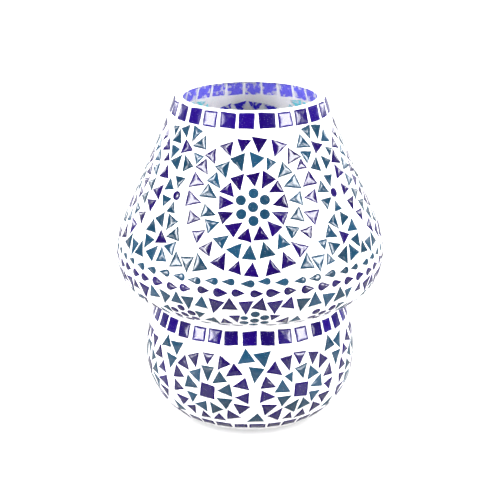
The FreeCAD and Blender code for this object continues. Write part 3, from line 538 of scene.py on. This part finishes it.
class Tile:
    """A flat mosaic piece: its frame on the lamp, the outline it was cut to, its thickness and its looks."""

    def __init__(self, points, triangles):
        own, corners = points[np.unique(triangles)], points[triangles]
        angle, down, _ = on_outline(own.mean(axis=0)[None])
        outwards = face_points(angle, down)[1][0]
        cross = np.cross(corners[:, 1] - corners[:, 0], corners[:, 2] - corners[:, 0])
        area = np.linalg.norm(cross, axis=1)
        keep = area > 1e-6
        normals = cross[keep] / area[keep, None]
        self.out = normals[np.argmax(normals @ outwards)]
        height = own @ self.out
        self.thick = height.max() - height.min()
        top = own[height > height.max() - ON_TOP]
        self.across = np.cross((0.0, 0.0, 1.0), self.out)
        self.across /= np.linalg.norm(self.across)
        self.up = np.cross(self.out, self.across)
        flat = np.stack([top @ self.across, top @ self.up], axis=1)
        middle = (flat.min(axis=0) + flat.max(axis=0)) / 2
        flat -= middle
        self.cut = flat[np.argsort(np.arctan2(flat[:, 1], flat[:, 0]))]
        self.place = middle[0] * self.across + middle[1] * self.up + height.max() * self.out
        self.tone = rng.random()
        self.lean = rng.normal(0.0, LEAN, 2)
        self.grain = (rng.uniform(0, math.tau), rng.uniform(-SHEET, SHEET), rng.uniform(-SHEET, SHEET))

    def shape(self, room):
        """Gives the piece its visible outline, flared over its cut as far as its neighbours leave room."""
        count = len(self.cut)
        flat = widened(self.cut, min(FLARE.get(count, ROUND_FLARE), room))
        if count in FLARE:
            self.outline, self.crown = nipped(flat), CROWN
        else:
            self.outline, self.crown = rounded(flat), ROUND_CROWN

    def at(self, flat, lift=0.0):
        """Points in space of flat ones in the piece's plane, lifted off its top."""
        lift = np.broadcast_to(lift, len(flat))
        return self.place + flat[:, :1] * self.across + flat[:, 1:] * self.up + lift[:, None] * self.out

    def seen(self, points):
        """Points in space as flat ones in the piece's plane."""
        away = points - self.place
        return np.stack([away @ self.across, away @ self.up], axis=-1)


def off_outline(outline, points):
    """Distance of flat points outside a convex outline's edges, negative inside it."""
    ends = np.roll(outline, -1, axis=0) - outline
    away = points[:, None, :] - outline[None]
    return ((ends[:, 1] * away[..., 0] - ends[:, 0] * away[..., 1]) / np.hypot(*ends.T)).max(axis=1)


def tree_of(tiles):
    tree = kdtree.KDTree(len(tiles))
    for k, tile in enumerate(tiles):
        tree.insert(tile.place, k)
    tree.balance()
    return tree


def shape_tiles(tiles):
    """Shapes all pieces, each with half its gap to the nearest one, less a thread of grout, as its room."""
    tree = tree_of(tiles)
    gaps = np.full(len(tiles), NEAR)
    shares = np.linspace(0.0, 1.0, EDGE_SAMPLES, endpoint=False)[:, None, None]
    for k, tile in enumerate(tiles):
        edge = tile.cut * (1.0 - shares) + np.roll(tile.cut, -1, axis=0) * shares
        edge = tile.at(edge.reshape(-1, 2))
        for _, other, _ in tree.find_range(tile.place, NEAR):
            if other != k:
                gap = off_outline(tiles[other].cut, tiles[other].seen(edge)).min()
                gaps[k], gaps[other] = min(gaps[k], gap), min(gaps[other], gap)
    for tile, gap in zip(tiles, gaps):
        tile.shape(max(0.0, (gap - THREAD) / 2))


def widened(flat, by):
    """A convex outline moved outwards by a distance, its sharpest corners by no more than twice that."""
    ahead = np.roll(flat, -1, axis=0) - flat
    ahead /= np.linalg.norm(ahead, axis=1)[:, None]
    outwards = np.stack([ahead[:, 1], -ahead[:, 0]], axis=1)
    outwards = outwards + np.roll(outwards, 1, axis=0)
    length = np.linalg.norm(outwards, axis=1)
    return flat + outwards / length[:, None] * np.minimum(2.0 / length, 2.0)[:, None] * by


def nipped(corners):
    """Outline of a nipped piece: small uneven rounds at its corners and slightly wandering edges."""
    points = []
    count = len(corners)
    for i in range(count):
        before, corner, after = corners[i - 1], corners[i], corners[(i + 1) % count]
        back, on = before - corner, after - corner
        back_len, on_len = np.linalg.norm(back), np.linalg.norm(on)
        cut = rng.uniform(*CORNER_CUTS)
        start, stop = corner + back / back_len * cut, corner + on / on_len * cut
        points += [start, 0.25 * start + 0.5 * corner + 0.25 * stop, stop]
        inwards = np.array([-on[1], on[0]]) / on_len
        for share in NIP_SHARES:
            points.append(corner + on * share + inwards * rng.uniform(-NIP, NIP))
    return np.array(points)


def rounded(flat):
    """Outline of a disc or a drop: evenly spaced points, from its sharpest corner on, slightly uneven."""
    ahead, behind = np.roll(flat, -1, axis=0) - flat, flat - np.roll(flat, 1, axis=0)
    turn = np.arctan2(behind[:, 0] * ahead[:, 1] - behind[:, 1] * ahead[:, 0], (behind * ahead).sum(axis=1))
    flat = np.roll(flat, -int(np.argmax(turn)), axis=0)
    closed = np.vstack([flat, flat[:1]])
    length = np.concatenate([[0.0], np.cumsum(np.hypot(*np.diff(closed, axis=0).T))])
    at = np.linspace(0.0, length[-1], ROUND_POINTS, endpoint=False)
    even = np.stack([np.interp(at, length, closed[:, i]) for i in (0, 1)], axis=1)
    wobble = 1.0 - WOBBLE * rng.random(ROUND_POINTS)
    return even * (wobble + np.roll(wobble, 1))[:, None] / 2


TOP_RINGS = [  # inset and height of each ring over the back one, and how near the edge it counts
    (0.0, -0.42, 1.0), (0.2, -0.2, 1.0), (1.1, -0.04, 1.0), (1.45, 0.0, 0.1), (2.2, 0.06, 0.0),
]
UNEVEN = 0.012  # spread of the height round a ring


def tile_mesh(tile):
    """Points, faces and attributes of one piece, with softened edges and a faintly cushioned, leaning top."""
    outline = tile.outline
    count, rings = len(outline), len(TOP_RINGS)
    radius = np.linalg.norm(outline, axis=1)
    points = [tile.at(outline, -tile.thick)]
    for inset, lift, _ in TOP_RINGS:
        flat = outline * (1.0 - np.minimum(inset, 0.8 * radius) / radius)[:, None]
        points.append(tile.at(flat, lift + flat @ tile.lean + rng.normal(0.0, UNEVEN, count)))
    points += [tile.at(np.zeros((1, 2)), lift) for lift in (tile.crown, -tile.thick)]
    points = np.vstack(points)
    edge = np.concatenate([np.repeat([1.0] + [ring[2] for ring in TOP_RINGS], count), [0.0, 0.3]])
    behind = np.repeat([1.0, 0.0, 1.0], [count, count * rings + 1, 1])
    last, top, low = rings * count, len(points) - 2, len(points) - 1
    faces = []
    for i in range(count):
        j = (i + 1) % count
        for k in range(rings):
            faces.append((k * count + i, k * count + j, (k + 1) * count + j, (k + 1) * count + i))
        faces += [(last + i, last + j, top), (j, i, low)]
    turn, east, north = tile.grain
    away = points - tile.place
    x, y, z = away @ tile.across, away @ tile.up, away @ tile.out
    along = x * math.cos(turn) + y * math.sin(turn) + east
    across = y * math.cos(turn) - x * math.sin(turn) + north
    return points, faces, {"edge": edge, "behind": behind, "tone": np.full(len(points), tile.tone),
                           "grain": np.stack([along, across, z], axis=1)}


def mosaic_piece(node, tiles, material):
    """The pieces of one CAD node as one mesh, with the attributes that stained_glass() reads."""
    made = [tile_mesh(tile) for tile in tiles]
    points = np.vstack([own for own, _, _ in made])
    faces, start = [], 0
    for own, own_faces, _ in made:
        faces += [tuple(i + start for i in face) for face in own_faces]
        start += len(own)
    piece = new_piece("glass_" + node, points, faces, material, "lamp", [node])
    for name in ("edge", "behind", "tone", "grain"):
        give_attribute(piece, name, np.concatenate([looks[name] for _, _, looks in made]))


# ---------------------------------------------------------------- grout

# Free points of the grout's face, as the step down, the step round, the jitter and its share down
LOOSE = (1.7, 1.7, 0.32, 1.0)
FINE = (0.55, 1.4, 0.1, 0.3)  # on the rim and in the waist
LAST_CLEAR = 0.6  # between them and the foot's edge
WAIST_REACH = 6.0  # how far from its narrowest ring the waist is fine
EDGE_CLEAR = 0.4  # least distance of a free point from a piece
NEAR_POINT = 9.5  # from a piece's middle to a free point it can sway
LUMPS = ((0.16, 0.10), (0.55, 0.05))  # how often they come, per mm, and how high they are
SUNK = 0.06  # depth of the plaster under the outline
CALM_DOWN, CALM_LEAST = 7.0, 0.25  # where the lumps are whole, and their share at the rim
TILE_PROUD = 0.34  # how far a piece's top stands over the grout at its edge
POCKET = 1.004  # size of a pocket against its piece
DRAWN, DRAWN_REACH, DRAWN_FALL = 0.6, 2.0, 0.55  # share, end and fall of the plaster drawn up to a piece
RIM_COUNT = 240
INLET_HOLE_R = 5.0
INLET_CLEAR = 0.8
INLET_ANGLE = -25.0


def inlet_outline():
    """Points round the cord inlet's hole, on the grout's face at the back."""
    r, z = on_circle(GLOBE_FOOT_C, GLOBE_FOOT_ARC, INLET_ANGLE)
    a = math.radians(INLET_ANGLE)
    mouth, out = np.array([0.0, r, z]), np.array([0.0, math.cos(a), math.sin(a)])
    across = np.array([-1.0, 0.0, 0.0])
    up = np.cross(out, across)
    turns = np.linspace(0.0, math.tau, 28, endpoint=False)
    return mouth + INLET_HOLE_R * (np.cos(turns)[:, None] * across + np.sin(turns)[:, None] * up)


def free_points():
    """Angles and distances down of loosely jittered points all over the grout's face."""
    middle = (OUTLINE[:, 1] > GLOBE_Z) & (OUTLINE[:, 1] < BELLY_Z)
    waist = DOWN[middle][np.argmin(OUTLINE[middle, 0])]
    angles, downs = [], []
    down = FINE[0]
    while down < DOWN[-1] - LAST_CLEAR:
        fine = down < RIM_DOWN or abs(down - waist) < WAIST_REACH
        step, across, jitter, share = FINE if fine else LOOSE
        count = int(math.tau * np.interp(down, DOWN, OUTLINE[:, 0]) / across)
        phase = rng.random()
        angles.append((np.arange(count) + phase + rng.uniform(-jitter, jitter, count)) * math.tau / count)
        downs.append(down + rng.uniform(-jitter, jitter, count) * step * share)
        down += step
    angles, downs = np.concatenate(angles), np.concatenate(downs)
    return (angles + math.pi) % math.tau - math.pi, downs


def plaster(points, down):
    """Height of the hand-wiped plaster off the outline."""
    lumps = [sum(noise.noise(Vector(p) * often) * height for often, height in LUMPS) for p in points]
    return np.array(lumps) * np.clip(down / CALM_DOWN, CALM_LEAST, 1.0) - SUNK


def flat_map(angle, down):
    """A plan of the face that keeps angles true, so that a plane triangulation suits the curved face."""
    radius = np.interp(down, DOWN, FLAT)
    return np.stack([radius * np.sin(angle), -radius * np.cos(angle)], axis=1)


SAME_POINT = 1e-9  # points of the plan nearer than this are one


def triangulate(plan, loops):
    """Triangles of a plan with its loops as edges, without those inside a loop that is a hole."""
    edges = [(int(a), int(b)) for loop in loops for a, b in zip(loop, np.roll(loop, -1))]
    result = geometry.delaunay_2d_cdt([Vector(p) for p in plan], edges, [], 0, SAME_POINT)
    triangles, origin = np.array(result[2]), result[3]
    assert len(result[0]) == len(plan), "two points of the plan fell together"
    source = np.array([o[0] for o in origin])
    triangles = source[triangles]
    loop_of = np.full(len(plan), -1)
    order = np.zeros(len(plan), int)
    for k, loop in enumerate(loops[:-1]):
        loop_of[loop] = k
        order[loop] = np.arange(len(loop))
    inside = (loop_of[triangles[:, 0]] >= 0) & (loop_of[triangles] == loop_of[triangles[:, :1]]).all(axis=1)
    a, b, c = order[triangles].T
    inside &= ((a < b) & (b < c)) | ((b < c) & (c < a)) | ((c < a) & (a < b))
    return triangles[~inside]


def fixed_loops(tiles, hole):
    """The loops that the face is stretched between, each as its points, angles and distances down.

    They are the pieces' pockets, the cord inlet's hole, the mouth and the foot.
    """
    loops = []
    for tile in tiles:
        edge = tile.at(tile.outline * POCKET, tile.outline @ tile.lean - TILE_PROUD)
        loops.append((edge, *on_outline(edge)[:2]))
    angle, down, off = on_outline(hole)
    loops.append((hole - off[:, None] * face_points(angle, down)[1], angle, down))
    angle = (np.arange(RIM_COUNT) + 0.5) * math.tau / RIM_COUNT - math.pi
    for end in (0.0, DOWN[-1]):
        down = np.full(RIM_COUNT, end)
        loops.append((face_points(angle, down)[0], angle, down))
    return loops


def wiped_face(tiles, hole):
    """The face's free points clear of the pieces and the hole, drawn up towards the pieces' edges."""
    angle, down = free_points()
    place, normal = face_points(angle, down)
    height = plaster(place, down)
    keep = np.linalg.norm(place - hole.mean(axis=0), axis=1) > INLET_HOLE_R + INLET_CLEAR
    tree = tree_of(tiles)
    for i, point in enumerate(place):
        for _, k, _ in tree.find_range(point, NEAR_POINT):
            tile = tiles[k]
            x, y = tile.seen(point)
            gap = off_outline(tile.outline, np.array([[x, y]]))[0]
            if gap < EDGE_CLEAR:
                keep[i] = False
                break
            if gap < DRAWN_REACH:
                top = (tile.place - point) @ normal[i] + (x * tile.lean[0] + y * tile.lean[1]) - TILE_PROUD
                height[i] += max(0.0, top - height[i]) * DRAWN * math.exp(-(gap - EDGE_CLEAR) / DRAWN_FALL)
    return (place + height[:, None] * normal)[keep], angle[keep], down[keep]


def grout_piece(tiles, material):
    """The grout: a lumpy face with a pocket round every piece, a back on the glass, and pocket walls."""
    hole = inlet_outline()
    fixed = fixed_loops(tiles, hole)
    starts = np.cumsum([0] + [len(edge) for edge, _, _ in fixed])
    loops = [np.arange(start, end) for start, end in zip(starts, starts[1:])]
    framed = starts[-1]
    outer, angle, down = (np.concatenate(column) for column in zip(*fixed, wiped_face(tiles, hole)))
    plan = flat_map(angle, down)
    face = triangulate(plan, loops)
    back = triangulate(plan[:framed], loops)
    inner = glass_points(angle[:framed], down[:framed])
    for tile, loop in zip(tiles, loops):
        depth = (inner[loop] - outer[loop]) @ tile.out
        inner[loop] = outer[loop] + depth[:, None] * tile.out
    walls = []
    for loop in loops:
        after = np.roll(loop, -1)
        walls.append(np.stack([after, loop, loop + len(outer), after + len(outer)], axis=1))
    walls[-1] = walls[-1][:, ::-1]
    faces = face.tolist() + (back[:, ::-1] + len(outer)).tolist() + np.vstack(walls).tolist()
    points = np.vstack([outer, inner])
    new_piece("plaster_grout", points, faces, material, "lamp", ["grout_skin"], 50.0)


# ---------------------------------------------------------------- fittings and bulb

SOFT_EDGES = {  # edge round in mm of each fitting
    "foot_pads": 0.6, "cable_grommet": 0.4, "bottom_plate": 0.3, "seat_plate": 0.3, "lower_nut": 0.35,
    "upper_nut": 0.35, "lock_washer": 0.25, "holder_cap": 0.5, "holder_body": 0.4, "holder_insert": 0.3,
    "terminal_screws": 0.15,
}


FLAT_ANGLE, CRISP_ANGLE = 1.0, 32.0  # faces less apart are one, and edges more bent are rounded


def soften(node, width, material, body):
    """A copy of a CAD node with rounded edges, which replaces it."""
    points, triangles = node_points(node)
    mesh = bpy.data.meshes.new("soft_" + node)
    mesh.from_pydata((points * MM).tolist(), [], triangles.tolist())
    work = bmesh.new()
    work.from_mesh(mesh)
    bmesh.ops.dissolve_limit(work, angle_limit=math.radians(FLAT_ANGLE), verts=work.verts, edges=work.edges)
    least = math.radians(CRISP_ANGLE)
    crisp = [e for e in work.edges if len(e.link_faces) == 2 and e.calc_face_angle() > least]
    bmesh.ops.bevel(work, geom=crisp, offset=width * MM, offset_type="OFFSET", segments=2, profile=0.5,
                    affect="EDGES", clamp_overlap=True)
    bmesh.ops.triangulate(work, faces=[f for f in work.faces if len(f.verts) > 4])
    shaped = np.array([v.co for v in work.verts]) / MM
    faces = [tuple(v.index for v in f.verts) for f in work.faces]
    work.free()
    bpy.data.meshes.remove(mesh)
    new_piece("soft_" + node, shaped, faces, material, body, [node])


THREAD_PITCH = 2.82
THREAD_DEPTH = 0.5
THREAD_TURN = 72  # points round the cap
THREAD_RISE = 12  # and along one pitch
THREAD_FIRST = 4  # rings left out under the thread
THREAD_FADE, THREAD_END = 1.5, 2.5  # height over which it grows and dies out, and its end under the last ring


def threaded_cap(material):
    """The bulb's rolled E14 cap: a round thread that runs out into a skirt, a hem and a crimped foot."""
    low, high = (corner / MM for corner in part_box("bulb_cap"))
    crest, bottom, top = high.x + 0.15, low.z, high.z
    levels = np.arange(0.0, top - bottom - 1.2, THREAD_PITCH / THREAD_RISE)
    rings = [(crest - 1.15, bottom, 0.0), (crest - 0.5, bottom + 0.35, 0.0)]
    for level in levels[THREAD_FIRST:]:
        grown = (level - levels[THREAD_FIRST]) / THREAD_FADE
        left = max(0.0, (levels[-1] - THREAD_END - level) / THREAD_FADE)
        fade = min(1.0, grown, left)
        rings.append((crest - THREAD_DEPTH / 2, bottom + level, fade))
    rings += [
        (crest + 0.05, top - 0.7, 0.0), (crest + 0.15, top - 0.3, 0.0), (crest, top, 0.0),
        (crest - 0.35, top - 0.1, 0.0), (crest - 0.9, bottom + 1.2, 0.0), (crest - 1.3, bottom + 0.4, 0.0),
    ]
    turns = np.arange(THREAD_TURN) * math.tau / THREAD_TURN
    points, faces = [], []
    for radius, height, fade in rings:
        wave = np.cos(math.tau * (height - bottom) / THREAD_PITCH - turns)
        points.append(spin(radius + fade * THREAD_DEPTH / 2 * wave, np.full(THREAD_TURN, height), turns))
    for k in range(len(rings)):
        here, after = k * THREAD_TURN, (k + 1) % len(rings) * THREAD_TURN
        for i in range(THREAD_TURN):
            j = (i + 1) % THREAD_TURN
            faces.append((here + i, here + j, after + j, after + i))
    new_piece("threaded_cap", np.vstack(points), faces, material, "bulb", ["bulb_cap"], 50.0)


def add_fittings(materials, slots):
    bodies = {node: body for body, nodes in frame["record"]["behaviour"]["bodies"].items() for node in nodes}
    for node, width in SOFT_EDGES.items():
        soften(node, width, materials[slots[node]], bodies[node])
    threaded_cap(materials[slots["bulb_cap"]])


# ---------------------------------------------------------------- the whole object

def dress_cad_nodes(materials):
    """Every CAD node that stays gets its slot's material."""
    slots = {part["node"]: part["material_slot"] for part in frame["record"]["subparts"]}
    for name, node in frame["nodes"].items():
        node.data.materials.clear()
        node.data.materials.append(materials[slots[name]])
    return slots


def build_lamp():
    materials = make_materials()
    slots = dress_cad_nodes(materials)
    mosaic_nodes = [name for name in sorted(slots) if slots[name] in STAINED]
    mosaic = {name: [Tile(*solid) for solid in loose_solids(name)] for name in mosaic_nodes}
    tiles = [tile for own in mosaic.values() for tile in own]
    shape_tiles(tiles)
    for name, own in mosaic.items():
        mosaic_piece(name, own, materials[slots[name]])
    grout_piece(tiles, materials["grout"])
    add_fittings(materials, slots)


# ---------------------------------------------------------------- floor, lights and backdrop

WHITE = (1.0, 1.0, 1.0, 1.0)
TABLE_R, TABLE_SHADE, TABLE_GLOW = 0.8, 0.36, 0.5
TABLE_BOUNCE = 0.25  # share of the glow that lights the lamp
SURROUND, SURROUND_AROUND = 1.2, (0.95, 0.96, 1.0, 1.0)  # strength behind the lamp, colour all round it
SIDE_DIM, SIDE_BRIGHT = (0.3, 0.03), (0.7, 1.0)  # direction into the depth and strength there
BOX_ANGLE, BOX_AWAY, BOX_HIGH = 57.0, 1.1, 0.55  # degrees off the front, m from the axis and over the table


def white_table():
    """A round pale table top, as bright to the eye as the surround, with less glow for the lamp."""
    mesh = bpy.data.meshes.new("table")
    turns = np.linspace(0.0, math.tau, 96, endpoint=False)
    edge = [(TABLE_R * math.cos(a), TABLE_R * math.sin(a), 0.0) for a in turns]
    mesh.from_pydata(edge, [], [tuple(range(96))])
    table = bpy.data.objects.new("table", mesh)
    scene.collection.objects.link(table)
    material, tree = new_material("table")
    mottle = noise_at(tree, object_place(tree), 6.0)
    colour = ramp(tree, mottle, [(0.3, (TABLE_SHADE,) * 3), (0.7, (0.98 * TABLE_SHADE,) * 3)])
    eye = add(tree, "LightPath").outputs["Is Camera Ray"]
    glow = span(tree, eye, 0.0, 1.0, TABLE_BOUNCE * TABLE_GLOW, TABLE_GLOW)
    shader = add(tree, "BsdfPrincipled", {"Base Color": colour, "Roughness": 0.8, "Specular IOR Level": 0.2,
                                          "Emission Color": WHITE, "Emission Strength": glow})
    finish_material(tree, shader.outputs[0])
    table.data.materials.append(material)


def softbox(name, place, aim, width, height, power):
    """A rectangular area light, in metres and watts, turned to its aim."""
    light = bpy.data.lights.new(name, "AREA")
    light.shape = "RECTANGLE"
    light.size, light.size_y = width, height
    light.energy = power
    lamp = bpy.data.objects.new(name, light)
    lamp.location = place
    lamp.rotation_euler = (Vector(aim) - Vector(place)).to_track_quat("-Z", "Y").to_euler()
    scene.collection.objects.link(lamp)


def light_studio():
    """Two tall soft boxes in front, a wide one overhead, two behind, a white table and a white surround."""
    white_table()
    for side, name in ((-1, "left"), (1, "right")):
        a = math.radians(BOX_ANGLE * side)
        place = (BOX_AWAY * math.sin(a), -BOX_AWAY * math.cos(a), BOX_HIGH)
        softbox("box_" + name, place, (0, 0, 0.14), 0.54, 1.1, 38.0)
    softbox("overhead", (0.0, 0.3, 2.0), (0, 0, 0.1), 2.2, 2.2, 29.0)
    for side, name in ((-1, "left"), (1, "right")):
        softbox("rear_" + name, (1.2 * side, 1.2, 0.7), (0, 0, 0.12), 0.8, 1.0, 18.0)
    world = bpy.data.worlds.new("studio")
    world.use_nodes = True
    tree = world.node_tree
    tree.nodes.clear()
    seen = add(tree, "Background", {"Color": WHITE, "Strength": SURROUND})
    direction = add(tree, "TexCoord").outputs["Generated"]
    depth = add(tree, "SeparateXYZ", {"Vector": direction}).outputs["Y"]
    strength = span(tree, depth, SIDE_DIM[0], SIDE_BRIGHT[0], SIDE_DIM[1], SIDE_BRIGHT[1])
    around = add(tree, "Background", {"Color": SURROUND_AROUND, "Strength": strength})
    eye = add(tree, "LightPath").outputs["Is Camera Ray"]
    mixed = add(tree, "MixShader", {0: eye, 1: around.outputs[0], 2: seen.outputs[0]})
    output = tree.nodes.new("ShaderNodeOutputWorld")
    tree.links.new(mixed.outputs[0], output.inputs["Surface"])
    scene.world = world
    scene.view_settings.view_transform = "Standard"


add_camera()
build_lamp()
light_studio()
